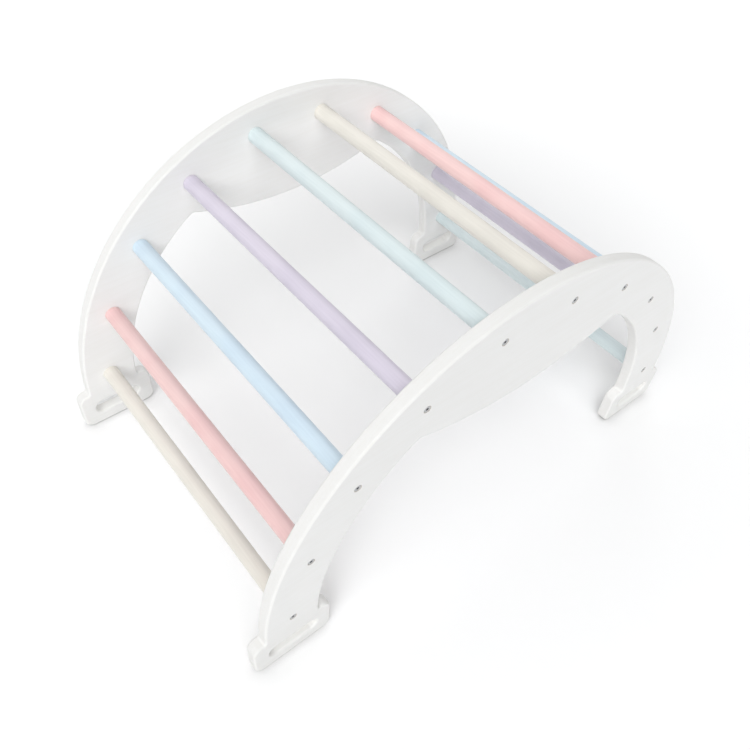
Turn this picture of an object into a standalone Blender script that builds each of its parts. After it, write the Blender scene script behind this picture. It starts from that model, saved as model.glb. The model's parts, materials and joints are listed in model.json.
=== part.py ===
# Child's climbing arch. Two flat side panels, each a half ring with a sagging crown on two slotted
# foot bars, hold ten round rungs, each fixed by one countersunk screw through either panel.
# The arch runs along X, its rungs along Y, and it stands on Z = 0 with its middle at the origin.

import math

import bmesh
import bpy

# Sizes in metres, angles in degrees.

# Side panels
OVERALL_WIDTH = 0.600
PANEL_THICKNESS = 0.022
PANEL_EDGE_RADIUS = 0.004
OUTER_RADIUS = 0.452
LEG_WIDTH = 0.094
CROWN_DEPTH = 0.187
CROWN_SAG_RADIUS = 0.594
CROWN_CORNER_RADIUS = 0.014

# Foot bars of a panel, which run past the leg on both sides, and the hand slot through each
FOOT_OVERHANG = 0.022
FOOT_HEIGHT = 0.078
FOOT_CORNER_RADIUS = 0.016
FOOT_SHOULDER_FILLET = 0.005
SLOT_END_WALL = 0.026
SLOT_HEIGHT = 0.026

# Rungs
RUNG_COUNT = 10
RUNG_SPREAD_ANGLE = 170.0
RUNG_DIAMETER = 0.028
RUNG_SEAT_DEPTH = 0.006
RUNG_END_CHAMFER = 0.001

# Countersunk screws with a hexagonal drive
SCREW_LENGTH = 0.050
SCREW_HEAD_DIAMETER = 0.0105
SCREW_HEAD_SINK = 0.0004
SCREW_SHANK_DIAMETER = 0.0065
SCREW_TIP_DIAMETER = 0.003
SCREW_TIP_LENGTH = 0.004
DRIVE_ACROSS_FLATS = 0.004
DRIVE_DEPTH = 0.0028

# Gap left between pieces that touch, how far a cutter runs past what it cuts, and the distance
# within which points are joined into one
FIT_GAP = 0.0003
CUT_OVERRUN = 0.002
WELD_DISTANCE = 0.00003

# How finely the curves are drawn
LARGE_ARC_STEP = 4.0
SMALL_ARC_STEP = 20.0
EDGE_RESOLUTION = 1
RUNG_SIDES = 24
SCREW_SIDES = 12
DRIVE_SIDES = 6
SMOOTH_ANGLE = 40.0

# Sizes that follow from the ones above
RING_RADIUS = OUTER_RADIUS - LEG_WIDTH / 2
INNER_RADIUS = OUTER_RADIUS - LEG_WIDTH
RING_HEIGHT = FOOT_HEIGHT
FOOT_LENGTH = LEG_WIDTH + 2 * FOOT_OVERHANG
SAG_CENTRE_HEIGHT = RING_HEIGHT + OUTER_RADIUS - CROWN_DEPTH + CROWN_SAG_RADIUS
PANEL_CENTRE_Y = (OVERALL_WIDTH - PANEL_THICKNESS) / 2
RUNG_LENGTH = OVERALL_WIDTH - 2 * (PANEL_THICKNESS - RUNG_SEAT_DEPTH + FIT_GAP)
RUNG_RADIUS = RUNG_DIAMETER / 2
HEAD_RADIUS = SCREW_HEAD_DIAMETER / 2
SHANK_RADIUS = SCREW_SHANK_DIAMETER / 2
HEAD_PLACE = OVERALL_WIDTH / 2 - SCREW_HEAD_SINK

PANEL_WHITE = "e9ebee"
SCREW_STEEL = "b9bcc0"
RUNG_COLOURS = {
    "cream": "ece7da",
    "pink": "f4c6c8",
    "blue": "c4e2f5",
    "lavender": "d9d1e6",
    "aqua": "cfe6ea",
}


def clear_scene():
    for obj in list(bpy.data.objects):
        bpy.data.objects.remove(obj, do_unlink=True)


def new_collection(name):
    collection = bpy.data.collections.new(name)
    bpy.context.scene.collection.children.link(collection)
    return collection


def linear(hex_colour):
    # A screen colour written as six hexadecimal digits, as linear red, green, blue and alpha
    screen = [int(hex_colour[i : i + 2], 16) / 255 for i in (0, 2, 4)]
    return [c / 12.92 if c <= 0.04045 else ((c + 0.055) / 1.055) ** 2.4 for c in screen] + [1.0]


def make_material(name, hex_colour, roughness, metallic=0.0):
    material = bpy.data.materials.new(name)
    material.use_nodes = True
    shader = material.node_tree.nodes["Principled BSDF"]
    shader.inputs["Base Color"].default_value = linear(hex_colour)
    shader.inputs["Roughness"].default_value = roughness
    shader.inputs["Metallic"].default_value = metallic
    material.diffuse_color = linear(hex_colour)
    return material


def evaluated_mesh(obj):
    bpy.context.view_layer.update()
    graph = bpy.context.evaluated_depsgraph_get()
    return bpy.data.meshes.new_from_object(obj.evaluated_get(graph))


def arc(centre, radius, start, end, step):
    # Points from the angle start to the angle end, both included
    count = max(1, math.ceil(abs(end - start) / step))
    angles = [math.radians(start + (end - start) * i / count) for i in range(count + 1)]
    return [(centre[0] + radius * math.cos(a), centre[1] + radius * math.sin(a)) for a in angles]


def angle_of(point, centre):
    return math.degrees(math.atan2(point[1] - centre[1], point[0] - centre[0]))


def point_off_ring(distance, height):
    # The point on the right, at this height, that lies this far from the ring's centre
    return math.sqrt(distance**2 - (height - RING_HEIGHT) ** 2), height


def panel_half_outline():
    # The right half, from the top of the crown round the foot to the middle of the sagging underside
    ring = (0.0, RING_HEIGHT)
    sag = (0.0, SAG_CENTRE_HEIGHT)
    foot_out = RING_RADIUS + FOOT_LENGTH / 2
    foot_in = RING_RADIUS - FOOT_LENGTH / 2
    fillet = min(FOOT_SHOULDER_FILLET, FOOT_OVERHANG / 3)
    corner = min(FOOT_CORNER_RADIUS, FOOT_OVERHANG - fillet, FOOT_HEIGHT / 2)

    outer = point_off_ring(OUTER_RADIUS + fillet, FOOT_HEIGHT + fillet)
    outer_turn = angle_of(outer, ring)
    points = arc(ring, OUTER_RADIUS, 90, outer_turn, LARGE_ARC_STEP)
    points += arc(outer, fillet, outer_turn - 180, -90, SMALL_ARC_STEP)[1:]

    points += arc((foot_out - corner, FOOT_HEIGHT - corner), corner, 90, 0, SMALL_ARC_STEP)
    points += arc((foot_out - corner, corner), corner, 0, -90, SMALL_ARC_STEP)
    points += arc((foot_in + corner, corner), corner, -90, -180, SMALL_ARC_STEP)
    points += arc((foot_in + corner, FOOT_HEIGHT - corner), corner, 180, 90, SMALL_ARC_STEP)

    inner = point_off_ring(INNER_RADIUS - fillet, FOOT_HEIGHT + fillet)
    inner_turn = angle_of(inner, ring)
    points += arc(inner, fillet, -90, inner_turn, SMALL_ARC_STEP)

    # The tight corner touches the leg's inner arc and the underside of the crown
    to_ring = INNER_RADIUS - CROWN_CORNER_RADIUS
    to_sag = CROWN_SAG_RADIUS + CROWN_CORNER_RADIUS
    apart = SAG_CENTRE_HEIGHT - RING_HEIGHT
    rise = (to_ring**2 - to_sag**2 + apart**2) / (2 * apart)
    tight = point_off_ring(to_ring, RING_HEIGHT + rise)
    leg_end = angle_of(tight, ring)
    sag_turn = angle_of(tight, sag)
    points += arc(ring, INNER_RADIUS, inner_turn, leg_end, LARGE_ARC_STEP)[1:]
    points += arc(tight, CROWN_CORNER_RADIUS, leg_end, sag_turn + 180, SMALL_ARC_STEP)[1:]
    points += arc(sag, CROWN_SAG_RADIUS, sag_turn, -90, LARGE_ARC_STEP / 2)[1:]
    return points


def panel_outline():
    right = panel_half_outline()
    left = [(-x, z) for x, z in reversed(right[1:-1])]
    return right + left


def slot_outline(side):
    end_radius = SLOT_HEIGHT / 2
    reach = FOOT_LENGTH / 2 - SLOT_END_WALL - end_radius
    middle = side * RING_RADIUS
    height = FOOT_HEIGHT / 2
    points = arc((middle + reach, height), end_radius, -90, 90, SMALL_ARC_STEP)
    return points + arc((middle - reach, height), end_radius, 90, 270, SMALL_ARC_STEP)


def add_closed_spline(curve, points):
    spline = curve.splines.new("POLY")
    spline.points.add(len(points) - 1)
    for vertex, (x, y) in zip(spline.points, points):
        vertex.co = (x, y, 0, 1)
    spline.use_cyclic_u = True


def panel_blank():
    # The board before drilling: the outline, pushed out to the thickness, with every edge rounded
    curve = bpy.data.curves.new("panel_outline", "CURVE")
    curve.dimensions = "2D"
    curve.fill_mode = "BOTH"
    add_closed_spline(curve, panel_outline())
    for side in (-1, 1):
        add_closed_spline(curve, slot_outline(side))
    curve.extrude = PANEL_THICKNESS / 2 - PANEL_EDGE_RADIUS
    curve.bevel_depth = PANEL_EDGE_RADIUS
    curve.bevel_resolution = EDGE_RESOLUTION
    curve.offset = -PANEL_EDGE_RADIUS
    outline = bpy.data.objects.new("panel_outline", curve)
    bpy.context.scene.collection.objects.link(outline)

    mesh = evaluated_mesh(outline)
    bpy.data.objects.remove(outline, do_unlink=True)
    bpy.data.curves.remove(curve)
    shape = bmesh.new()
    shape.from_mesh(mesh)
    bmesh.ops.remove_doubles(shape, verts=shape.verts, dist=WELD_DISTANCE)
    bmesh.ops.recalc_face_normals(shape, faces=shape.faces)
    shape.to_mesh(mesh)
    shape.free()
    return mesh


def turned(name, profile, sides):
    # A solid of revolution about Z: the profile runs from the axis at the top to the axis at the bottom
    mesh = bpy.data.meshes.new(name)
    edges = [(i, i + 1) for i in range(len(profile) - 1)]
    mesh.from_pydata([(radius, 0, height) for radius, height in profile], edges, [])
    obj = bpy.data.objects.new(name, mesh)
    turn = obj.modifiers.new("turn", "SCREW")
    turn.steps = sides
    turn.render_steps = sides
    turn.use_merge_vertices = True
    turn.merge_threshold = WELD_DISTANCE
    return obj


def turned_cutter(name, profile, sides, collection):
    obj = turned(name, profile, sides)
    collection.objects.link(obj)
    obj.hide_render = True
    obj.display_type = "WIRE"
    return obj


def cutter_collection(name, cutters):
    collection = bpy.data.collections.new(name)
    cutters.children.link(collection)
    return collection


def drilled(blank, holes, cutters):
    # The mesh of this blank with every solid of a collection cut out of it. The blank is used up
    cutters.objects.link(blank)
    cut = blank.modifiers.new("holes", "BOOLEAN")
    cut.operation = "DIFFERENCE"
    cut.solver = "EXACT"
    cut.operand_type = "COLLECTION"
    cut.collection = holes
    mesh = evaluated_mesh(blank)
    bpy.data.objects.remove(blank, do_unlink=True)
    return mesh


def rung_places():
    # Where the rungs' axes cross a panel, from the left foot over the top to the right foot
    step = RUNG_SPREAD_ANGLE / (RUNG_COUNT - 1)
    angles = [math.radians(90 + RUNG_SPREAD_ANGLE / 2 - step * i) for i in range(RUNG_COUNT)]
    return [(RING_RADIUS * math.cos(a), RING_HEIGHT + RING_RADIUS * math.sin(a)) for a in angles]


def screw_profile():
    # The flat of the head lies at height 0 and the shank hangs below it
    return [
        (0, 0),
        (HEAD_RADIUS, 0),
        (SHANK_RADIUS, SHANK_RADIUS - HEAD_RADIUS),
        (SHANK_RADIUS, SCREW_TIP_LENGTH - SCREW_LENGTH),
        (SCREW_TIP_DIAMETER / 2, -SCREW_LENGTH),
        (0, -SCREW_LENGTH),
    ]


def screw_hole_profile():
    # The hole that one screw needs through a panel and into a rung, with the cone run out past the face
    hole_radius = SHANK_RADIUS + FIT_GAP
    cone_end = SHANK_RADIUS - HEAD_RADIUS
    top = SCREW_HEAD_SINK + CUT_OVERRUN
    return [
        (0, top),
        (hole_radius + top - cone_end, top),
        (hole_radius, cone_end),
        (hole_radius, -SCREW_LENGTH - FIT_GAP),
        (0, -SCREW_LENGTH - FIT_GAP),
    ]


def rung_seat_profile():
    # The blind seat in a panel's inner face, from its floor out past the face
    seat_radius = RUNG_RADIUS + FIT_GAP
    return [
        (0, RUNG_SEAT_DEPTH),
        (seat_radius, RUNG_SEAT_DEPTH),
        (seat_radius, -CUT_OVERRUN),
        (0, -CUT_OVERRUN),
    ]


def rung_profile():
    end = [(RUNG_RADIUS - RUNG_END_CHAMFER, RUNG_LENGTH / 2), (RUNG_RADIUS, RUNG_LENGTH / 2 - RUNG_END_CHAMFER)]
    upper = [(0, RUNG_LENGTH / 2)] + end
    return upper + [(radius, -height) for radius, height in reversed(upper)]


def finished(mesh, name, material):
    mesh.name = name
    mesh.materials.clear()
    mesh.materials.append(material)
    mesh.shade_smooth()
    mesh.set_sharp_from_angle(angle=math.radians(SMOOTH_ANGLE))
    return mesh


def place(parts, name, mesh, location, turns):
    obj = bpy.data.objects.new(name, mesh)
    obj.location = location
    obj.rotation_euler = turns
    parts.objects.link(obj)


def make_panels(parts, cutters):
    holes = cutter_collection("panel_holes", cutters)
    for number, (x, z) in enumerate(rung_places(), 1):
        hole = turned_cutter(f"panel_hole_{number:02d}", screw_hole_profile(), SCREW_SIDES, holes)
        hole.location = (x, z, PANEL_THICKNESS / 2 - SCREW_HEAD_SINK)
        seat = turned_cutter(f"rung_seat_{number:02d}", rung_seat_profile(), RUNG_SIDES, holes)
        seat.location = (x, z, -PANEL_THICKNESS / 2)
    blank = bpy.data.objects.new("panel_blank", panel_blank())
    mesh = drilled(blank, holes, cutters)
    finished(mesh, "side_panel", make_material("panel_white", PANEL_WHITE, 0.42))

    # The outer face of the board is its local +Z, turned to face away from the rungs
    place(parts, "front_panel", mesh, (0, -PANEL_CENTRE_Y, 0), (math.pi / 2, 0, 0))
    place(parts, "back_panel", mesh, (0, PANEL_CENTRE_Y, 0), (math.pi / 2, 0, math.pi))


def make_rungs(parts, cutters):
    holes = cutter_collection("rung_holes", cutters)
    for end, height, tilt in (("front", HEAD_PLACE, 0), ("back", -HEAD_PLACE, math.pi)):
        hole = turned_cutter(f"rung_hole_{end}", screw_hole_profile(), SCREW_SIDES, holes)
        hole.location = (0, 0, height)
        hole.rotation_euler = (tilt, 0, 0)
    blank = turned("rung_blank", rung_profile(), RUNG_SIDES)
    mesh = drilled(blank, holes, cutters)

    names = list(RUNG_COLOURS)
    materials = {name: make_material(f"rung_{name}", RUNG_COLOURS[name], 0.38) for name in names}
    for number, (x, z) in enumerate(rung_places()):
        colour = names[number % len(names)]
        rung_name = f"rung_{number + 1:02d}_{colour}"
        painted = finished(mesh.copy(), rung_name, materials[colour])
        place(parts, rung_name, painted, (x, 0, z), (math.pi / 2, 0, 0))


def make_screws(parts, cutters):
    drives = cutter_collection("screw_drives", cutters)
    corner_radius = DRIVE_ACROSS_FLATS / 2 / math.cos(math.pi / DRIVE_SIDES)
    drive = [(0, CUT_OVERRUN), (corner_radius, CUT_OVERRUN), (corner_radius, -DRIVE_DEPTH), (0, -DRIVE_DEPTH)]
    turned_cutter("screw_drive", drive, DRIVE_SIDES, drives)
    blank = turned("screw_blank", screw_profile(), SCREW_SIDES)
    mesh = drilled(blank, drives, cutters)
    finished(mesh, "panel_screw", make_material("screw_steel", SCREW_STEEL, 0.3, metallic=1.0))

    for side, y, tilt in (("front", -HEAD_PLACE, math.pi / 2), ("back", HEAD_PLACE, -math.pi / 2)):
        for number, (x, z) in enumerate(rung_places(), 1):
            place(parts, f"{side}_screw_{number:02d}", mesh, (x, y, z), (tilt, 0, 0))


def main():
    clear_scene()
    parts = new_collection("climbing_arch")
    cutters = new_collection("cutters")
    make_panels(parts, cutters)
    make_rungs(parts, cutters)
    make_screws(parts, cutters)


main()
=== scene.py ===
# Dresses a child's climbing arch for a studio picture: painted panels, pastel rungs and steel screws
import json
import math

import bmesh
import bpy
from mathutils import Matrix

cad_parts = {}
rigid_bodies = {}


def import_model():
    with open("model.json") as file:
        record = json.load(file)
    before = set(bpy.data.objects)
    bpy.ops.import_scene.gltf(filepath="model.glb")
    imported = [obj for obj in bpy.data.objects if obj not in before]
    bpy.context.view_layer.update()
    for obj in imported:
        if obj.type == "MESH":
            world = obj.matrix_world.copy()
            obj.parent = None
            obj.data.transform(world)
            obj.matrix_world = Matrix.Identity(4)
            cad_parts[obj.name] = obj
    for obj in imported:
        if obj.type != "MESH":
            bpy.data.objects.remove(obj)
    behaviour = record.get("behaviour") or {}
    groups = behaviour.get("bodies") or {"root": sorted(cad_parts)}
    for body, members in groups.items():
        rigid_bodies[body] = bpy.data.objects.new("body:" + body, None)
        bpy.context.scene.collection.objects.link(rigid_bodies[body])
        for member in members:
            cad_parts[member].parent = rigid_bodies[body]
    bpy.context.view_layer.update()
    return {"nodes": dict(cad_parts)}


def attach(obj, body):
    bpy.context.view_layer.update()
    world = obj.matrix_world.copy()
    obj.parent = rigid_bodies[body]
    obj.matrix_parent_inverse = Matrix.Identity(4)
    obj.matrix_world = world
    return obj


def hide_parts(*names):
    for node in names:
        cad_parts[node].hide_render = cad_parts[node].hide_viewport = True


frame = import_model()
scene = bpy.context.scene
scene.view_settings.view_transform = "Standard"
print("frame loaded:", len(frame["nodes"]), "solids")

# Lengths are in metres and angles in degrees. X runs along the arch, Y along the rungs, Z up
cameraSetup = {
    "sensor": 36.0,
    "lens": 36.0,
    "seesTo": 50.0,
    "place": (-0.63597, -0.68459, 1.15583),
    "turn": (40.726, -2.767, -38.409),
    "shift": (0.00954, 0.00712),
}


def makeCamera(setup):
    data = bpy.data.cameras.new("studioCamera")
    camera = bpy.data.objects.new("studioCamera", data)
    scene.collection.objects.link(camera)
    data.sensor_width = setup["sensor"]
    data.lens = setup["lens"]
    data.shift_x, data.shift_y = setup["shift"]
    data.clip_end = setup["seesTo"]
    camera.location = setup["place"]
    camera.rotation_euler = [math.radians(angle) for angle in setup["turn"]]
    scene.camera = camera


makeCamera(cameraSetup)
print("camera ready")


def linearColour(hexColour):
    # A colour as it is written on a screen, turned into the light values that nodes take
    channels = [int(hexColour[i : i + 2], 16) / 255 for i in (0, 2, 4)]
    return [c / 12.92 if c <= 0.04045 else ((c + 0.055) / 1.055) ** 2.4 for c in channels] + [1]


sidePanel = {
    "overallWidth": 0.600,  # over both panels
    "thickness": 0.022,
    "edgeRadius": 0.004,
    "outerRadius": 0.452,
    "legWidth": 0.094,
    "crownDepth": 0.187,  # from the top down to the sagging underside
    "sagRadius": 0.594,
    "crownCorner": 0.014,  # where a leg meets the sag
    "footOverhang": 0.022,  # past both sides of the leg
    "footHeight": 0.078,
    "footCorner": 0.016,
    "footFillet": 0.005,
    "slotEndWall": 0.026,  # left at each end of a foot's slot
    "slotHeight": 0.026,
    "holeFlare": 0.0004,  # softens the rim of a screw's hole
    "seatLip": 0.0002,  # and that of a rung's seat
    "arcStep": 1.0,  # degrees from point to point of the long arcs
    "tightArcStep": 7.5,  # and of the corners
    "edgeSteps": 4,
    "weldDistance": 0.00003,
}
rung = {
    "count": 10,
    "spreadAngle": 170.0,  # from the first to the last, about the middle of the ring
    "diameter": 0.028,
    "seatDepth": 0.006,
    "endRound": 0.001,
    "boreGap": 0.0003,  # round the screws and at the ends of the rung
    "seatGap": 0.00005,  # paint fills the joint, so hardly a line shows
    "sides": 96,
    "boreSides": 24,
    "colours": ["cream", "pink", "blue", "lavender", "aqua"],
}
screw = {
    "length": 0.050,
    "headDiameter": 0.0105,
    "headSink": 0.0004,  # below the face of the panel
    "headRimRound": 0.0003,
    "shankDiameter": 0.0065,
    "tipDiameter": 0.003,
    "tipLength": 0.004,
    "driveAcross": 0.004,
    "driveDepth": 0.0028,
    "driveChamfer": 0.0004,
    "drivePoint": 0.3,  # depth of the drill's point below the socket, in its radii
    "driveSides": 6,
    "sides": 48,
    "holeSides": 64,
}


def arcPoints(centre, radius, start, end, stepAngle):
    count = max(1, math.ceil(abs(end - start) / stepAngle))
    turns = [math.radians(start + (end - start) * i / count) for i in range(count + 1)]
    return [(centre[0] + radius * math.cos(a), centre[1] + radius * math.sin(a)) for a in turns]


def angleOf(point, centre):
    return math.degrees(math.atan2(point[1] - centre[1], point[0] - centre[0]))


def panelOutline(p):
    # Right half from the top of the crown round the foot to the sagging underside, then mirrored
    ringHeight = p["footHeight"]
    ring = (0, ringHeight)
    inner = p["outerRadius"] - p["legWidth"]
    middle = p["outerRadius"] - p["legWidth"] / 2
    reach = p["legWidth"] / 2 + p["footOverhang"]
    fillet, corner = p["footFillet"], p["footCorner"]
    wide, tight = p["arcStep"], p["tightArcStep"]

    def offRing(radius, height):
        return math.sqrt(radius**2 - (height - ringHeight) ** 2), height

    outerFillet = offRing(p["outerRadius"] + fillet, ringHeight + fillet)
    turn = angleOf(outerFillet, ring)
    points = arcPoints(ring, p["outerRadius"], 90, turn, wide)
    points += arcPoints(outerFillet, fillet, turn - 180, -90, tight)[1:]
    low, high = corner, ringHeight - corner
    left, right = middle - reach + corner, middle + reach - corner
    points += arcPoints((right, high), corner, 90, 0, tight)
    points += arcPoints((right, low), corner, 0, -90, tight)
    points += arcPoints((left, low), corner, -90, -180, tight)
    points += arcPoints((left, high), corner, 180, 90, tight)
    innerFillet = offRing(inner - fillet, ringHeight + fillet)
    turn = angleOf(innerFillet, ring)
    points += arcPoints(innerFillet, fillet, -90, turn, tight)

    sag = (0, ringHeight + p["outerRadius"] - p["crownDepth"] + p["sagRadius"])
    toRing = inner - p["crownCorner"]
    toSag = p["sagRadius"] + p["crownCorner"]
    apart = sag[1] - ringHeight
    rise = (toRing**2 - toSag**2 + apart**2) / (2 * apart)
    crownCorner = offRing(toRing, ringHeight + rise)
    legEnd, sagEnd = angleOf(crownCorner, ring), angleOf(crownCorner, sag)
    points += arcPoints(ring, inner, turn, legEnd, wide)[1:]
    points += arcPoints(crownCorner, p["crownCorner"], legEnd, sagEnd + 180, tight)[1:]
    points += arcPoints(sag, p["sagRadius"], sagEnd, -90, wide / 2)[1:]
    return points + [(-x, z) for x, z in reversed(points[1:-1])]


def slotOutline(p, side):
    endRadius = p["slotHeight"] / 2
    reach = p["legWidth"] / 2 + p["footOverhang"] - p["slotEndWall"] - endRadius
    middle = side * (p["outerRadius"] - p["legWidth"] / 2)
    height = p["footHeight"] / 2
    points = arcPoints((middle + reach, height), endRadius, -90, 90, p["tightArcStep"])
    return points + arcPoints((middle - reach, height), endRadius, 90, 270, p["tightArcStep"])


def evaluatedMesh(obj):
    bpy.context.view_layer.update()
    graph = bpy.context.evaluated_depsgraph_get()
    return bpy.data.meshes.new_from_object(obj.evaluated_get(graph))


def boardMesh(p):
    # The outline is pushed out to the board's thickness, with a round along every edge
    curve = bpy.data.curves.new("boardOutline", "CURVE")
    curve.dimensions = "2D"
    curve.fill_mode = "BOTH"
    for points in (panelOutline(p), slotOutline(p, -1), slotOutline(p, 1)):
        spline = curve.splines.new("POLY")
        spline.points.add(len(points) - 1)
        for vertex, (x, y) in zip(spline.points, points):
            vertex.co = (x, y, 0, 1)
        spline.use_cyclic_u = True
    curve.extrude = p["thickness"] / 2 - p["edgeRadius"]
    curve.bevel_depth = p["edgeRadius"]
    curve.bevel_resolution = p["edgeSteps"]
    curve.offset = -p["edgeRadius"]
    outline = bpy.data.objects.new("boardOutline", curve)
    scene.collection.objects.link(outline)
    mesh = evaluatedMesh(outline)
    bpy.data.objects.remove(outline)
    bpy.data.curves.remove(curve)
    shape = bmesh.new()
    shape.from_mesh(mesh)
    bmesh.ops.remove_doubles(shape, verts=shape.verts, dist=p["weldDistance"])
    bmesh.ops.recalc_face_normals(shape, faces=shape.faces)
    shape.to_mesh(mesh)
    shape.free()
    return mesh


def turnedMesh(name, profile, sides):
    # A lathe about Z: the profile starts and ends on the axis
    shape = bmesh.new()
    rings = []
    for radius, height in profile:
        if radius == 0:
            rings.append([shape.verts.new((0, 0, height))])
            continue
        turns = [2 * math.pi * i / sides for i in range(sides)]
        rings.append([shape.verts.new((radius * math.cos(a), radius * math.sin(a), height)) for a in turns])
    for upper, lower in zip(rings, rings[1:]):
        for i in range(sides):
            j = (i + 1) % sides
            around = ((upper, i), (lower, i), (lower, j), (upper, j))
            corners = [ring[turn % len(ring)] for ring, turn in around]
            shape.faces.new(list(dict.fromkeys(corners)))
    bmesh.ops.recalc_face_normals(shape, faces=shape.faces)
    mesh = bpy.data.meshes.new(name)
    shape.to_mesh(mesh)
    shape.free()
    return mesh


cutOverrun = 0.002  # how far a cutter stands out of what it cuts


def cutWith(mesh, cutters):
    # The mesh with each cutter, given as a mesh and its place and turn, taken out of it
    blank = bpy.data.objects.new("blank", mesh)
    scene.collection.objects.link(blank)
    holder = bpy.data.collections.new("cutters")
    scene.collection.children.link(holder)
    for cutterMesh, place, turn in cutters:
        cutter = bpy.data.objects.new("cutter", cutterMesh)
        cutter.location, cutter.rotation_euler = place, turn
        holder.objects.link(cutter)
    cut = blank.modifiers.new("cut", "BOOLEAN")
    cut.operand_type = "COLLECTION"
    cut.collection = holder
    cut.solver = "EXACT"
    result = evaluatedMesh(blank)
    for obj in [blank] + list(holder.objects):
        bpy.data.objects.remove(obj)
    bpy.data.collections.remove(holder)
    return result


def rungPlaces(p, r):
    ringRadius = p["outerRadius"] - p["legWidth"] / 2
    apart = r["spreadAngle"] / (r["count"] - 1)
    turns = [math.radians(90 + r["spreadAngle"] / 2 - apart * i) for i in range(r["count"])]
    return [(ringRadius * math.cos(a), p["footHeight"] + ringRadius * math.sin(a)) for a in turns]


def smooth(mesh, angle=30):
    mesh.shade_smooth()
    mesh.set_sharp_from_angle(angle=math.radians(angle))
    return mesh


def addPiece(name, mesh, material, place, turn, node):
    mesh.materials.clear()
    mesh.materials.append(material)
    obj = bpy.data.objects.new(name, mesh)
    obj.location, obj.rotation_euler = place, turn
    scene.collection.objects.link(obj)
    weighted = obj.modifiers.new("weightedNormals", "WEIGHTED_NORMAL")
    weighted.weight = 100
    weighted.keep_sharp = True
    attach(obj, "root")
    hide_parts(node)
    return obj


def drilledPanel(p, r, s):
    shank = s["shankDiameter"] / 2 + r["boreGap"]
    depth = s["headSink"]
    cone = s["headDiameter"] / 2 - s["shankDiameter"] / 2
    wide = shank + cone + depth
    flare, lip = p["holeFlare"], p["seatLip"]
    bend = 0.3  # the middle point of a softened corner, as a share of its size
    hole = turnedMesh("screwHole", [
        (0, cutOverrun),
        (wide + flare + cutOverrun, cutOverrun),
        (wide + flare, depth),
        (wide + flare * bend, depth - flare * bend),
        (wide - flare, depth - flare),
        (shank, -cone),
        (shank, -p["thickness"]),
        (0, -p["thickness"]),
    ], s["holeSides"])
    seatRadius = r["diameter"] / 2 + r["seatGap"]
    seat = turnedMesh("rungSeat", [
        (0, r["seatDepth"]),
        (seatRadius, r["seatDepth"]),
        (seatRadius, lip),
        (seatRadius + lip * bend, lip * bend),
        (seatRadius + lip, 0),
        (seatRadius + lip, -cutOverrun),
        (0, -cutOverrun),
    ], r["sides"])
    cutters = []
    for x, z in rungPlaces(p, r):
        cutters.append((hole, (x, z, p["thickness"] / 2 - depth), (0, 0, 0)))
        cutters.append((seat, (x, z, -p["thickness"] / 2), (0, 0, 0)))
    return smooth(cutWith(boardMesh(p), cutters))


def rungMesh(p, r, s):
    half = p["overallWidth"] / 2 - p["thickness"] + r["seatDepth"] - r["boreGap"]
    radius, rounding = r["diameter"] / 2, r["endRound"]
    upper = [(0, half)] + [
        (radius - rounding + rounding * math.sin(a), half - rounding + rounding * math.cos(a))
        for a in (0, math.pi / 6, math.pi / 3, math.pi / 2)
    ]
    profile = upper + [(x, -y) for x, y in reversed(upper)]
    blank = turnedMesh("rungBlank", profile, r["sides"])
    bore = s["shankDiameter"] / 2 + r["boreGap"]
    depth = s["length"] + s["headSink"] + r["boreGap"] - (p["overallWidth"] / 2 - half)
    hole = turnedMesh("pilotHole", [
        (0, cutOverrun),
        (bore, cutOverrun),
        (bore, -depth),
        (0, -depth),
    ], r["boreSides"])
    ends = [(hole, (0, 0, half), (0, 0, 0)), (hole, (0, 0, -half), (math.pi, 0, 0))]
    return smooth(cutWith(blank, ends))


def screwMesh(s):
    head, shank = s["headDiameter"] / 2, s["shankDiameter"] / 2
    rim = s["headRimRound"]
    rimPoints = ((0.3, 0.1), (0.15, 0.4), (0.35, 0.8))  # inwards and down, in sizes of the rim's round
    blank = turnedMesh("screwBlank", [
        (0, 0),
        (head - rim, 0),
        *((head - rim * inward, -rim * down) for inward, down in rimPoints),
        (shank, shank - head),
        (shank, s["tipLength"] - s["length"]),
        (s["tipDiameter"] / 2, -s["length"]),
        (0, -s["length"]),
    ], s["sides"])
    corner = s["driveAcross"] / 2 / math.cos(math.pi / s["driveSides"])
    chamfer, depth = s["driveChamfer"], s["driveDepth"]
    lead = turnedMesh("socketLead", [
        (0, chamfer),
        (corner + chamfer, chamfer),
        (corner - chamfer, -chamfer),
        (0, -chamfer),
    ], s["sides"])
    above = cutOverrun / 2  # enough over a small head
    socket = turnedMesh("hexSocket", [
        (0, above),
        (corner, above),
        (corner, -depth),
        (0, -depth - corner * s["drivePoint"]),
    ], s["driveSides"])
    for cutter in (lead, socket):
        blank = cutWith(blank, [(cutter, (0, 0, 0), (0, 0, 0))])
    return smooth(blank)


def put(tree, kind, inputs=None, **settings):
    # One node, with its settings, and each input given as a number, a colour or a socket to join to
    node = tree.nodes.new("ShaderNode" + kind)
    for name, value in settings.items():
        setattr(node, name, value)
    for name, value in (inputs or {}).items():
        if isinstance(value, bpy.types.NodeSocket):
            tree.links.new(value, node.inputs[name])
        else:
            node.inputs[name].default_value = value
    return node


def reckon(tree, operation, *values):
    return put(tree, "Math", dict(enumerate(values)), operation=operation).outputs[0]


def product(tree, first, *others):
    for value in others:
        first = reckon(tree, "MULTIPLY", first, value)
    return first


def plus(tree, base, value, share):
    # The base, and a share of the value on top of it
    return reckon(tree, "MULTIPLY_ADD", value, share, base)


def spread(tree, value, middle, width):
    # A pattern from 0 to 1 turned into values around a middle
    whole = product(tree, width, 2)
    lowest = product(tree, width, -1)
    return reckon(tree, "ADD", middle, reckon(tree, "MULTIPLY_ADD", value, whole, lowest))


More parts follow.
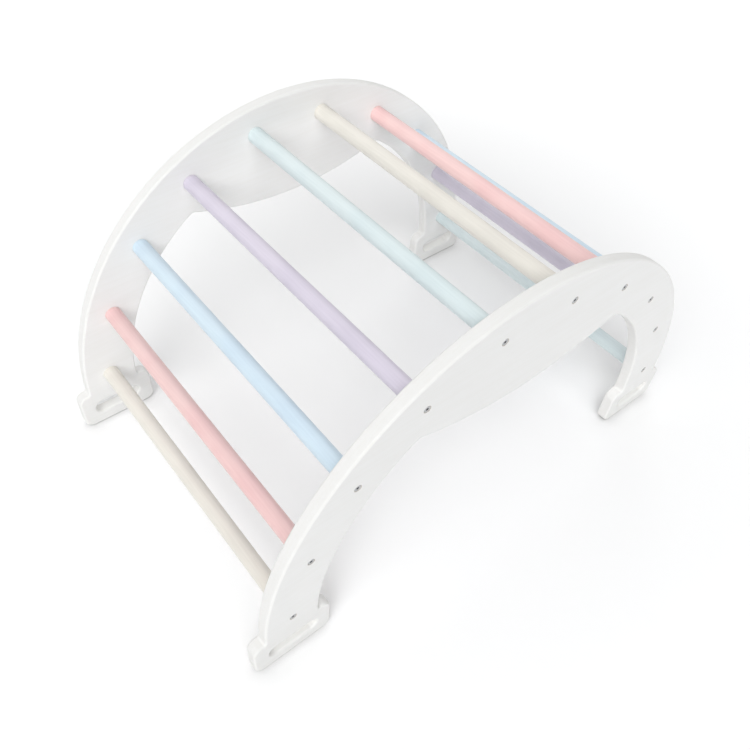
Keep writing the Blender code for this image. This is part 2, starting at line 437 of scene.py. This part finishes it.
def step(tree, value, low, high):
    # A soft rise from 0 at the first value to 1 at the second
    inputs = {"Value": value, "From Min": low, "From Max": high}
    return put(tree, "MapRange", inputs, interpolation_type="SMOOTHSTEP").outputs[0]


def clamped(tree, value):
    return put(tree, "Clamp", {0: value}).outputs[0]


def split(tree, vector):
    return put(tree, "SeparateXYZ", {0: vector}).outputs


def distance(tree, here, there):
    return put(tree, "VectorMath", {0: here, 1: there}, operation="DISTANCE").outputs["Value"]


def stretched(tree, vector, scale):
    return put(tree, "VectorMath", {0: vector, 1: scale}, operation="MULTIPLY").outputs[0]


def turned(tree, vector, angle, axis):
    inputs = {"Vector": vector, "Angle": angle}
    return put(tree, "VectorRotate", inputs, rotation_type=axis + "_AXIS").outputs[0]


def noise(tree, vector, size, detail=2.0):
    scale = reckon(tree, "DIVIDE", 1, size)
    return put(tree, "TexNoise", {"Vector": vector, "Scale": scale, "Detail": detail}).outputs[0]


def blended(tree, factor, first, second):
    node = put(tree, "Mix", {0: factor}, data_type="RGBA")
    for socket, value in ((node.inputs[6], first), (node.inputs[7], second)):  # its two colours
        if isinstance(value, bpy.types.NodeSocket):
            tree.links.new(value, socket)
        else:
            socket.default_value = value
    return node.outputs[2]


def tinted(tree, colour, tone):
    node = put(tree, "VectorMath", {0: colour}, operation="SCALE")
    tree.links.new(tone, node.inputs["Scale"])
    return node.outputs[0]


def effect(tree, group, inputs):
    return put(tree, "Group", inputs, node_tree=group).outputs


def placed(tree, pattern, amount, start, full):
    # Where a mark is, out of a pattern: it starts lower in the pattern as the amount grows
    growth = -0.3
    return step(tree, pattern, plus(tree, start, amount, growth), full)


def newGroup(name, inputs, outputs):
    # An input with no number is a vector
    group = bpy.data.node_groups.new(name, "ShaderNodeTree")
    for label, value in inputs.items():
        kind = "NodeSocketVector" if value is None else "NodeSocketFloat"
        socket = group.interface.new_socket(name=label, in_out="INPUT", socket_type=kind)
        if value is not None:
            socket.default_value = value
    for label in outputs:
        group.interface.new_socket(name=label, in_out="OUTPUT", socket_type="NodeSocketFloat")
    return group, group.nodes.new("NodeGroupInput").outputs, group.nodes.new("NodeGroupOutput").inputs


# The effects that the finishes share. Sizes are in metres, depths of the relief in millimetres.
# A pair of numbers is where in a noise or on a slope an effect begins and where it is full
def makePaintFilm():
    # Rolled paint: fine peel over slow pools where the coat levelled out thicker
    poolEdge = (0.35, 0.65)
    poolDepth = 3  # in depths of the peel
    cloudSize = 0.37  # of duller and shinier places, in sizes of a pool
    peelRoughness = 0.3  # in shares of what the clouds bring
    group, given, result = newGroup(
        "paintFilm",
        {
            "Vector": None,
            "Peel Size": 0.002,
            "Peel Depth": 0.01,
            "Mottle Size": 0.05,
            "Tone Spread": 0.02,
            "Roughness": 0.4,
            "Roughness Spread": 0.08,
        },
        ["Pools", "Tone", "Roughness", "Height"],
    )
    vector = given["Vector"]
    peel = noise(group, vector, given["Peel Size"], detail=1.5)
    pools = noise(group, vector, given["Mottle Size"], detail=3.0)
    clouds = noise(group, vector, product(group, given["Mottle Size"], cloudSize))
    rough = spread(group, clouds, given["Roughness"], given["Roughness Spread"])
    rough = spread(group, peel, rough, product(group, given["Roughness Spread"], peelRoughness))
    height = product(group, plus(group, peel, pools, poolDepth), given["Peel Depth"])
    group.links.new(step(group, pools, *poolEdge), result["Pools"])
    group.links.new(spread(group, pools, 1, given["Tone Spread"]), result["Tone"])
    group.links.new(rough, result["Roughness"])
    group.links.new(height, result["Height"])
    return group


def makeWoodGrain():
    # Grain that shows through a thin coat, running along Z: broad bands and fine raised fibres
    bandEdge = (0.3, 0.7)
    fibreSize = 0.14  # in sizes of a band
    fibreDepth = 0.5  # in depths of a band
    group, given, result = newGroup(
        "woodGrain",
        {"Vector": None, "Size": 0.004, "Stretch": 20.0, "Depth": 0.02},
        ["Bands", "Fibres", "Height"],
    )
    along = reckon(group, "DIVIDE", 1, given["Stretch"])
    scale = put(group, "CombineXYZ", {0: 1.0, 1: 1.0, 2: along}).outputs[0]
    lengthwise = stretched(group, given["Vector"], scale)
    bands = step(group, noise(group, lengthwise, given["Size"]), *bandEdge)
    fibres = noise(group, lengthwise, product(group, given["Size"], fibreSize), detail=1.0)
    height = product(group, plus(group, bands, fibres, fibreDepth), given["Depth"])
    group.links.new(bands, result["Bands"])
    group.links.new(fibres, result["Fibres"])
    group.links.new(height, result["Height"])
    return group


def makeEdgeRub():
    # The rounded edge between a flat face across Z and a rim, rubbed in patches
    edgeSlope = (0.35, 1)
    patchStart, patchFull = 0.75, 0.8
    group, given, result = newGroup(
        "edgeRub",
        {"Vector": None, "Normal": None, "Patch Size": 0.03, "Amount": 0.5},
        ["Edge", "Mask"],
    )
    facing = split(group, given["Normal"])[2]
    square = product(group, facing, facing)
    slope = product(group, square, 4, reckon(group, "SUBTRACT", 1, square))  # 1 halfway round the edge
    edge = step(group, slope, *edgeSlope)
    patches = noise(group, given["Vector"], given["Patch Size"], detail=4.0)
    worn = placed(group, patches, given["Amount"], patchStart, patchFull)
    group.links.new(edge, result["Edge"])
    group.links.new(product(group, edge, worn), result["Mask"])
    return group


def makeScuffMarks():
    # Short fine marks in two slants, in a few places only
    slants = (0.6, -1.1)
    tilt = 0.7  # of the marks about X, in shares of their slant about Z
    slimness = 34  # how many times longer than wide a mark is
    markEdge = (0.70, 0.76)
    placeSize = 2.2  # in lengths of a mark
    placeStart, placeFull = 0.72, 0.8
    group, given, result = newGroup(
        "scuffMarks",
        {"Vector": None, "Length": 0.03, "Amount": 0.3},
        ["Mask"],
    )
    marks = []
    for slant in slants:
        slanted = turned(group, given["Vector"], slant, "Z")
        slanted = turned(group, slanted, slant * tilt, "X")
        lines = stretched(group, slanted, (1, slimness, slimness))
        marks.append(step(group, noise(group, lines, given["Length"], detail=1.0), *markEdge))
    places = noise(group, given["Vector"], product(group, given["Length"], placeSize))
    places = placed(group, places, given["Amount"], placeStart, placeFull)
    group.links.new(product(group, reckon(group, "MAXIMUM", *marks), places), result["Mask"])
    return group


def makeHandPolish():
    # Upper sides that hands and feet have rubbed a little smoother
    upSlope = (0.2, 0.95)
    patchEdge = (0.42, 0.62)
    group, given, result = newGroup(
        "handPolish",
        {"Vector": None, "Normal": None, "Patch Size": 0.08, "Amount": 0.5},
        ["Mask"],
    )
    up = step(group, split(group, given["Normal"])[2], *upSlope)
    patches = noise(group, given["Vector"], given["Patch Size"], detail=3.0)
    mask = product(group, up, step(group, patches, *patchEdge), given["Amount"])
    group.links.new(mask, result["Mask"])
    return group


def makeRestingDust():
    # A breath of dust, thickest on what faces up
    upSlope = (-0.2, 1)
    driftSize = 0.12
    driftEdge = (0.3, 0.7)
    speckSize = 0.0009
    speckEdge = (0.66, 0.74)
    speckShows = 1.5  # beside the drifts
    group, given, result = newGroup(
        "restingDust",
        {"Vector": None, "Normal": None, "Amount": 0.1},
        ["Mask"],
    )
    up = step(group, split(group, given["Normal"])[2], *upSlope)
    drifts = step(group, noise(group, given["Vector"], driftSize, detail=4.0), *driftEdge)
    specks = step(group, noise(group, given["Vector"], speckSize, detail=1.0), *speckEdge)
    mask = product(group, up, plus(group, drifts, specks, speckShows), given["Amount"])
    group.links.new(clamped(group, mask), result["Mask"])
    return group


paintFilm = makePaintFilm()
woodGrain = makeWoodGrain()
edgeRub = makeEdgeRub()
scuffMarks = makeScuffMarks()
handPolish = makeHandPolish()
restingDust = makeRestingDust()


def newMaterial(name):
    material = bpy.data.materials.new(name)
    material.use_nodes = True
    tree = material.node_tree
    shader = tree.nodes["Principled BSDF"]
    own = put(tree, "TexCoord").outputs
    worldNormal = put(tree, "NewGeometry").outputs["Normal"]
    return material, tree, shader, own["Object"], own["Normal"], worldNormal


def joinShader(tree, shader, colour, roughness, height):
    bump = put(tree, "Bump", {"Height": height, "Distance": 0.001})  # a height of 1 is a millimetre
    tree.links.new(colour, shader.inputs["Base Color"])
    tree.links.new(clamped(tree, roughness), shader.inputs["Roughness"])
    tree.links.new(bump.outputs[0], shader.inputs["Normal"])


# What use and time leave on the paint, and how the painted shade roughens it. Each number is the change
# where the mark is full
traces = {
    "scuffColour": "c9c6c2",
    "scuffShows": 0.35,
    "scuffRoughens": 0.1,
    "scuffDepth": 0.015,
    "polishSmooths": 0.12,
    "dustColour": "d8d4cc",  # on the steel too
    "dustRoughens": 0.6,
    # rougher under the painted shade
    "shadeRoughens": 0.3,
}


def filmInputs(p, vector):
    return {
        "Vector": vector,
        "Peel Size": p["peelSize"],
        "Peel Depth": p["peelDepth"],
        "Mottle Size": p["mottleSize"],
        "Tone Spread": p["toneSpread"],
        "Roughness": p["roughness"],
        "Roughness Spread": p["roughnessSpread"],
    }


def grainInputs(p, vector):
    return {"Vector": vector, "Size": p["grainSize"], "Stretch": p["grainStretch"], "Depth": p["grainDepth"]}


def layPaint(tree, p, film, vector, worldNormal, colour, height):
    # What every painted piece gets: tone, scuffs, polish and dust, as colour, roughness and height
    scuffs = effect(tree, scuffMarks, {"Vector": vector, "Amount": p["scuffs"]})["Mask"]
    polishIn = {"Vector": vector, "Normal": worldNormal, "Amount": p["polish"]}
    polish = effect(tree, handPolish, polishIn)["Mask"]
    dustIn = {"Vector": vector, "Normal": worldNormal, "Amount": p["dust"]}
    dust = effect(tree, restingDust, dustIn)["Mask"]
    scuffed = product(tree, scuffs, traces["scuffShows"])
    colour = tinted(tree, colour, film["Tone"])
    colour = blended(tree, scuffed, colour, linearColour(traces["scuffColour"]))
    colour = blended(tree, dust, colour, linearColour(traces["dustColour"]))
    rough = plus(tree, film["Roughness"], polish, -traces["polishSmooths"])
    rough = plus(tree, rough, scuffs, traces["scuffRoughens"])
    rough = plus(tree, rough, dust, traces["dustRoughens"])
    height = reckon(tree, "ADD", height, film["Height"])
    height = plus(tree, height, scuffs, -traces["scuffDepth"])
    return colour, rough, height


# Painted shade: the colour drawn towards the shade colour under the mask, and a little rougher there
def addPaintedShade(tree, p, paintedShade, colour, rough):
    colour = blended(tree, paintedShade, colour, linearColour(p["paintedShadeColour"]))
    return colour, plus(tree, rough, paintedShade, traces["shadeRoughens"])


# Colours as they look in daylight. Sizes of marks and waves are in metres, their depths in millimetres.
# "Shows" is how far a mark changes the colour. A pair is where a mark begins and where it is full
panelPaint = {
    "colour": "f7f7f6",
    "thinColour": "f0efeb",  # where the coat is thin, on edges and over the grain
    "bareAndShadeColour": "a3927d",  # the wood that the screws left unpainted, darkened as painted shade of the countersinks
    # the colour of the painted shade towards the floor, along the soles and round the rungs
    "paintedShadeColour": "b4b0a8",
    "roughness": 0.46,
    "roughnessSpread": 0.08,
    "rimFacing": (0.5, 0.1),  # how much a surface still faces as the flat sides do
    "rimDullness": 0.25,  # rougher round the rim, where the end grain drinks the paint
    "shine": 0.34,
    "peelSize": 0.0022,
    "peelDepth": 0.012,
    "mottleSize": 0.09,
    "toneSpread": 0.016,
    "grainSize": 0.005,
    "grainStretch": 22.0,
    "grainDepth": 0.020,
    "grainShows": 0.24,
    "rimShows": 0.3,
    "edgeShows": 0.35,
    "plyThickness": 0.0024,
    "plyLine": (0.12, 0.0),  # from the middle of the line between two plies, in plies
    "plyWobble": 0.0006,
    "plyWobbleSize": 0.02,
    "plyShows": 0.35,
    "plyDepth": 0.03,
    "wear": 0.35,
    "wearShows": 0.6,
    "wearDepth": 0.02,
    # Painted shade: how dark it gets towards the floor, along the soles and round each rung
    "paintedShade": 0.10,
    "shadeReach": (0.16, 0),  # up from the floor
    "shadePatch": 0.03,
    "soleShade": 0.30,
    "soleReach": (0.007, 0.003),
    "soleRagged": 0.005,
    "jointShade": 0.07,
    "jointReach": (0.0035, 0),  # out from the side of a rung
    "bareAndShadeReach": (0.0075, 0.0070),  # out from the middle of a screw
    "bareAndShadeShows": 0.7,
    "bareRoughens": 0.25,
    "chipSize": 0.0014,
    "chipRagged": 0.0024,
    "chipDepth": 0.06,
    "innerFace": (0, -0.008),  # from the middle of the board
    "outerFace": (0.004, 0.008),
    "scuffs": 0.30,
    "polish": 0.25,
    "dust": 0.05,
}


def screwDistance(tree, vector, p, r):
    # From the middle of the nearest screw to a point of the panel. The screws sit evenly on one ring
    x, y = split(tree, vector)[:2]
    y = reckon(tree, "SUBTRACT", y, p["footHeight"])
    apart = math.radians(r["spreadAngle"] / (r["count"] - 1))
    first = math.radians(90 - r["spreadAngle"] / 2)
    angle = reckon(tree, "SUBTRACT", reckon(tree, "ARCTAN2", y, x), first)
    steps = reckon(tree, "ROUND", reckon(tree, "DIVIDE", angle, apart))
    nearest = plus(tree, first, steps, apart)
    ringRadius = p["outerRadius"] - p["legWidth"] / 2
    screwX = product(tree, reckon(tree, "COSINE", nearest), ringRadius)
    screwY = product(tree, reckon(tree, "SINE", nearest), ringRadius)
    here = put(tree, "CombineXYZ", {0: x, 1: y}).outputs[0]
    there = put(tree, "CombineXYZ", {0: screwX, 1: screwY}).outputs[0]
    return distance(tree, here, there)


def makePanelPaint(p):
    # Satin white on plywood: the face grain runs along the arch and the plies show faintly round the rim
    material, tree, shader, vector, normal, worldNormal = newMaterial("panelPaint")
    film = effect(tree, paintFilm, filmInputs(p, vector))
    grain = effect(tree, woodGrain, grainInputs(p, turned(tree, vector, math.pi / 2, "Y")))
    rub = effect(tree, edgeRub, {"Vector": vector, "Normal": normal, "Amount": p["wear"]})
    rim = step(tree, reckon(tree, "ABSOLUTE", split(tree, normal)[2]), *p["rimFacing"])
    height, across = split(tree, vector)[1:]
    wobble = plus(tree, across, noise(tree, vector, p["plyWobbleSize"]), p["plyWobble"])
    plies = reckon(tree, "DIVIDE", wobble, p["plyThickness"])
    plies = reckon(tree, "PINGPONG", plies, 1)  # 0 at every second line between plies
    plyLines = product(tree, step(tree, plies, *p["plyLine"]), rim)
    thin = product(tree, rub["Mask"], p["wearShows"])
    thin = plus(tree, thin, rub["Edge"], p["edgeShows"])
    thin = plus(tree, thin, grain["Bands"], p["grainShows"])
    thin = plus(tree, thin, plyLines, p["plyShows"])
    thin = clamped(tree, plus(tree, thin, rim, p["rimShows"]))
    colour = blended(tree, thin, linearColour(p["colour"]), linearColour(p["thinColour"]))
    relief = plus(tree, grain["Height"], plyLines, -p["plyDepth"])
    relief = plus(tree, relief, rub["Mask"], -p["wearDepth"])
    colour, rough, relief = layPaint(tree, p, film, vector, worldNormal, colour, relief)

    # Painted shade: darker towards the floor, darker along the soles, and a dark line round each rung where
    # it goes in
    patches = noise(tree, vector, p["shadePatch"], detail=4.0)
    uneven = reckon(tree, "ADD", patches, 0.5)  # about 1, as noise is about 0.5
    paintedShade = product(tree, step(tree, height, *p["shadeReach"]), p["paintedShade"], uneven)
    ragged = plus(tree, height, patches, p["soleRagged"])
    paintedShade = plus(tree, paintedShade, step(tree, ragged, *p["soleReach"]), p["soleShade"])
    fromScrew = screwDistance(tree, vector, sidePanel, rung)
    fromRung = reckon(tree, "SUBTRACT", fromScrew, rung["diameter"] / 2)
    joint = product(tree, step(tree, fromRung, *p["jointReach"]), step(tree, across, *p["innerFace"]))
    paintedShade = plus(tree, paintedShade, joint, p["jointShade"])
    colour, rough = addPaintedShade(tree, p, paintedShade, colour, rough)

    # Paint chipped off round the screw heads, in a wood colour darkened as painted shade of the countersinks
    chips = plus(tree, fromScrew, noise(tree, vector, p["chipSize"], detail=3.0), p["chipRagged"])
    bareAndShade = product(tree, step(tree, chips, *p["bareAndShadeReach"]), step(tree, across, *p["outerFace"]))
    bareAndShadeShown = product(tree, bareAndShade, p["bareAndShadeShows"])
    colour = blended(tree, bareAndShadeShown, colour, linearColour(p["bareAndShadeColour"]))
    rough = plus(tree, rough, bareAndShade, p["bareRoughens"])
    rough = plus(tree, rough, rim, p["rimDullness"])
    relief = plus(tree, relief, bareAndShade, -p["chipDepth"])
    shader.inputs["Specular IOR Level"].default_value = p["shine"]
    joinShader(tree, shader, colour, rough, relief)
    return material


rungPaint = {
    "colours": {
        "cream": ("e8e4db", "ede9e0"),  # deeper and paler tone of the same coat
        "pink": ("f1c8c7", "f4d2cf"),
        "blue": ("d2e5f3", "d9ebf6"),
        "lavender": ("d8d1e0", "dfd8e6"),
        "aqua": ("dbe9eb", "e2eeef"),
    },
    # the colour of the painted shade at the seats
    "paintedShadeColour": "a8a29a",
    "roughness": 0.42,
    "roughnessSpread": 0.10,
    "shine": 0.42,
    "peelSize": 0.0016,
    "peelDepth": 0.012,
    "mottleSize": 0.11,
    "toneSpread": 0.022,
    "poolsPale": 0.7,  # what turns the deeper tone into the paler one
    "bandsPale": 0.3,
    "fibresPale": 0.15,
    "grainSize": 0.0035,
    "grainStretch": 26.0,
    "grainDepth": 0.035,
    "grainShows": 0.04,
    # painted shade towards each seat
    "jointShade": 0.10,
    "jointReach": 0.007,
    "shadePatch": 0.006,
    "scuffs": 0.40,
    "polish": 0.5,
    "dust": 0.05,
}


def makeRungPaint(name, tones, p):
    # Pastel on a turned hardwood dowel, a little deeper where the coat pooled
    material, tree, shader, vector, _, worldNormal = newMaterial(name + "Paint")
    film = effect(tree, paintFilm, filmInputs(p, vector))
    grain = effect(tree, woodGrain, grainInputs(p, vector))
    pale = product(tree, film["Pools"], p["poolsPale"])
    pale = plus(tree, pale, grain["Bands"], p["bandsPale"])
    pale = clamped(tree, plus(tree, pale, grain["Fibres"], p["fibresPale"]))
    colour = blended(tree, pale, linearColour(tones[0]), linearColour(tones[1]))
    colour = tinted(tree, colour, spread(tree, grain["Bands"], 1, p["grainShows"] / 2))
    colour, rough, height = layPaint(tree, p, film, vector, worldNormal, colour, grain["Height"])

    # Painted shade: darker towards each seat, where the rung goes into the panel
    along = reckon(tree, "ABSOLUTE", split(tree, vector)[2])
    seat = sidePanel["overallWidth"] / 2 - sidePanel["thickness"]
    uneven = product(tree, noise(tree, vector, p["shadePatch"], detail=3.0), 2)  # about 1
    paintedShade = product(tree, step(tree, along, seat - p["jointReach"], seat), p["jointShade"], uneven)
    colour, rough = addPaintedShade(tree, p, paintedShade, colour, rough)
    shader.inputs["Specular IOR Level"].default_value = p["shine"]
    joinShader(tree, shader, colour, rough, height)
    return material


screwSteel = {
    "colour": "b4b5b7",
    "socketShadeColour": "1c1d1f",  # painted shade down in the socket
    "brightColour": "e3e4e6",  # where the rim is rubbed
    "roughness": 0.28,
    "roughnessSpread": 0.12,
    "ringSize": 0.00025,  # left by the lathe
    "ringDepth": 0.004,
    "ringRoughness": 0.05,
    "smearSize": 0.004,
    "toneSpread": 0.08,
    "socketRadii": (0.0032, 0.0026),  # where the painted shade begins and is full, from the axis
    "socketDepths": (-0.0001, -0.0008),  # and from the top of the head
    "socketRoughens": 0.3,
    "wear": 0.6,
    "wearPatch": 0.003,
    "wearShows": 0.5,
    "scuffs": 0.5,
    "scuffLength": 0.004,
    "scuffRoughens": 0.15,
    "scuffDepth": 0.003,
    "dust": 0.05,
}


def makeScrewSteel(p):
    # Turned steel: rings about the axis, bright on the rim of the head and dark in the socket as painted
    # shade
    material, tree, shader, vector, normal, worldNormal = newMaterial("screwSteel")
    shader.inputs["Metallic"].default_value = 1
    x, y, along = split(tree, vector)
    flat = put(tree, "CombineXYZ", {0: x, 1: y}).outputs[0]
    radius = put(tree, "VectorMath", {0: flat}, operation="LENGTH").outputs["Value"]
    ringAt = put(tree, "CombineXYZ", {0: radius, 1: along}).outputs[0]
    rings = noise(tree, ringAt, p["ringSize"], detail=1.0)
    smears = noise(tree, vector, p["smearSize"], detail=3.0)
    rubIn = {"Vector": vector, "Normal": normal, "Patch Size": p["wearPatch"], "Amount": p["wear"]}
    rub = effect(tree, edgeRub, rubIn)["Mask"]
    scuffIn = {"Vector": vector, "Length": p["scuffLength"], "Amount": p["scuffs"]}
    scuffs = effect(tree, scuffMarks, scuffIn)["Mask"]
    dustIn = {"Vector": vector, "Normal": worldNormal, "Amount": p["dust"]}
    dust = effect(tree, restingDust, dustIn)["Mask"]
    # Painted shade in the socket
    socketShade = product(tree, step(tree, along, *p["socketDepths"]), step(tree, radius, *p["socketRadii"]))
    colour = blended(tree, socketShade, linearColour(p["colour"]), linearColour(p["socketShadeColour"]))
    colour = tinted(tree, colour, spread(tree, smears, 1, p["toneSpread"]))
    rubbed = product(tree, rub, p["wearShows"])
    colour = blended(tree, rubbed, colour, linearColour(p["brightColour"]))
    colour = blended(tree, dust, colour, linearColour(traces["dustColour"]))
    rough = spread(tree, smears, p["roughness"], p["roughnessSpread"])
    rough = spread(tree, rings, rough, p["ringRoughness"])
    rough = plus(tree, rough, socketShade, p["socketRoughens"])
    rough = plus(tree, rough, scuffs, p["scuffRoughens"])
    height = product(tree, rings, p["ringDepth"])
    height = plus(tree, height, scuffs, -p["scuffDepth"])
    joinShader(tree, shader, colour, rough, height)
    return material


panelFinish = makePanelPaint(panelPaint)
rungFinishes = {name: makeRungPaint(name, tones, rungPaint) for name, tones in rungPaint["colours"].items()}
screwFinish = makeScrewSteel(screwSteel)
print("finishes:", len(bpy.data.node_groups), "shared effects,", 2 + len(rungFinishes), "materials")

places = rungPlaces(sidePanel, rung)
panelMesh = drilledPanel(sidePanel, rung, screw)
panelMesh.name = "sidePanel"
panelY = (sidePanel["overallWidth"] - sidePanel["thickness"]) / 2
for side, y, turn in (("front", -panelY, 0), ("back", panelY, math.pi)):
    addPiece(
        side + "SidePanel",
        panelMesh,
        panelFinish,
        (0, y, 0),
        (math.pi / 2, 0, turn),
        side + "_panel",
    )
print("side panels:", len(panelMesh.polygons), "faces each")

rungShape = rungMesh(sidePanel, rung, screw)
for i, (x, z) in enumerate(places):
    colour = rung["colours"][i % len(rung["colours"])]
    addPiece(
        f"{colour}Rung.{i + 1:02d}",
        rungShape.copy(),
        rungFinishes[colour],
        (x, 0, z),
        (math.pi / 2, 0, 0),
        f"rung_{i + 1:02d}_{colour}",
    )
print("rungs:", len(rungShape.polygons), "faces each")

screwShape = screwMesh(screw)
headY = sidePanel["overallWidth"] / 2 - screw["headSink"]
for side, y, turn in (("front", -headY, math.pi / 2), ("back", headY, -math.pi / 2)):
    for i, (x, z) in enumerate(places):
        addPiece(
            f"{side}Screw.{i + 1:02d}",
            screwShape,
            screwFinish,
            (x, y, z),
            (turn, 0, 0),
            f"{side}_screw_{i + 1:02d}",
        )
print("screws:", len(screwShape.polygons), "faces each")

studio = {
    "floorSize": 16.0,
    "floorDrop": 0.0003,  # keeps the floor clear of the soles
    "floorBounce": 0.88,  # what the floor sends back to the object
    "floorShown": (1.01, 1.55),  # what the camera sees of it, close by and far out, white outside the shadow; lower close by, as painted shade round the arch
    "floorFadesFrom": (0.32, 0.08, 0),
    "floorFadesOver": (0.0, 3.0),  # distances from there between which it changes
    "floorFibre": 0.003,
    "floorTone": 0.004,
    "contactShade": 0.70,  # how much darker where something stands on it
    "contactReach": 0.05,
    "contactFall": 1.5,  # the more, the closer the shade keeps
    "contactSamples": 6,
    "worldStrength": 0.02,
    "worldColour": (1.0, 0.985, 0.965),
    "lamps": {  # strength, where it comes from (azimuth with 0 in front and 90 on the right, height), spread
        "keyLight": (1.34, (298, 41), 40),
        "fillLight": (1.36, (330, 39), 60),
        "backLight": (1.17, (180, 35), 90),
        "rightLight": (0.75, (90, 35), 90),
    },
    "lampColour": (0.991, 0.995, 1.0),
}


def seenByEye(tree):
    # 1 where the camera sees it, directly, in a reflection or through glass, and 0 for its light
    rays = put(tree, "LightPath").outputs
    seen = reckon(tree, "MAXIMUM", rays["Is Camera Ray"], rays["Is Glossy Ray"])
    return reckon(tree, "MAXIMUM", seen, rays["Is Transmission Ray"])


def makeFloor(setup):
    half = setup["floorSize"] / 2
    mesh = bpy.data.meshes.new("studioFloor")
    corners = [(-half, -half, 0), (half, -half, 0), (half, half, 0), (-half, half, 0)]
    mesh.from_pydata(corners, [], [(0, 1, 2, 3)])
    floor = bpy.data.objects.new("studioFloor", mesh)
    floor.location.z = -setup["floorDrop"]
    scene.collection.objects.link(floor)
    material, tree, shader, vector = newMaterial("floorSheet")[:4]
    close, far = setup["floorShown"]
    # Painted shade: the floor the camera sees is darker close to the arch and lighter far out
    away = distance(tree, vector, setup["floorFadesFrom"])
    shown = plus(tree, close, step(tree, away, *setup["floorFadesOver"]), far - close)
    reach = {"Distance": setup["contactReach"]}
    clear = put(tree, "AmbientOcclusion", reach, samples=setup["contactSamples"]).outputs["AO"]
    covered = reckon(tree, "POWER", reckon(tree, "SUBTRACT", 1, clear), setup["contactFall"])
    shade = plus(tree, 1, covered, -setup["contactShade"])
    fibres = spread(tree, noise(tree, vector, setup["floorFibre"]), 1, setup["floorTone"])
    level = product(tree, shown, shade, fibres)
    colour = put(tree, "CombineXYZ", {0: level, 1: level, 2: level}).outputs[0]
    shownSheet = put(tree, "BsdfDiffuse", {"Color": colour}).outputs[0]
    bounce = setup["floorBounce"]
    litSheet = put(tree, "BsdfDiffuse", {"Color": (bounce, bounce, bounce, 1)}).outputs[0]
    sheet = put(tree, "MixShader", {0: seenByEye(tree), 1: litSheet, 2: shownSheet}).outputs[0]
    tree.links.new(sheet, tree.nodes["Material Output"].inputs["Surface"])
    tree.nodes.remove(shader)
    mesh.materials.append(material)


def makeLamp(name, colour, strength, comesFrom, angle):
    azimuth, height = (math.radians(a) for a in comesFrom)
    data = bpy.data.lights.new(name, "SUN")
    data.energy = strength
    data.angle = math.radians(angle)
    data.color = colour
    lamp = bpy.data.objects.new(name, data)
    lamp.rotation_euler = (math.pi / 2 - height, 0, azimuth)
    scene.collection.objects.link(lamp)


def makeWorld(setup):
    # White where it is seen, and a faint warm light
    world = bpy.data.worlds.new("studioWorld")
    world.use_nodes = True
    tree = world.node_tree
    seen = seenByEye(tree)
    level = plus(tree, setup["worldStrength"], seen, 1 - setup["worldStrength"])
    colour = blended(tree, seen, (*setup["worldColour"], 1), (1, 1, 1, 1))
    tree.links.new(colour, tree.nodes["Background"].inputs["Color"])
    tree.links.new(level, tree.nodes["Background"].inputs["Strength"])
    scene.world = world


makeFloor(studio)
for name, (strength, comesFrom, angle) in studio["lamps"].items():
    makeLamp(name, studio["lampColour"], strength, comesFrom, angle)
makeWorld(studio)
print("studio ready")
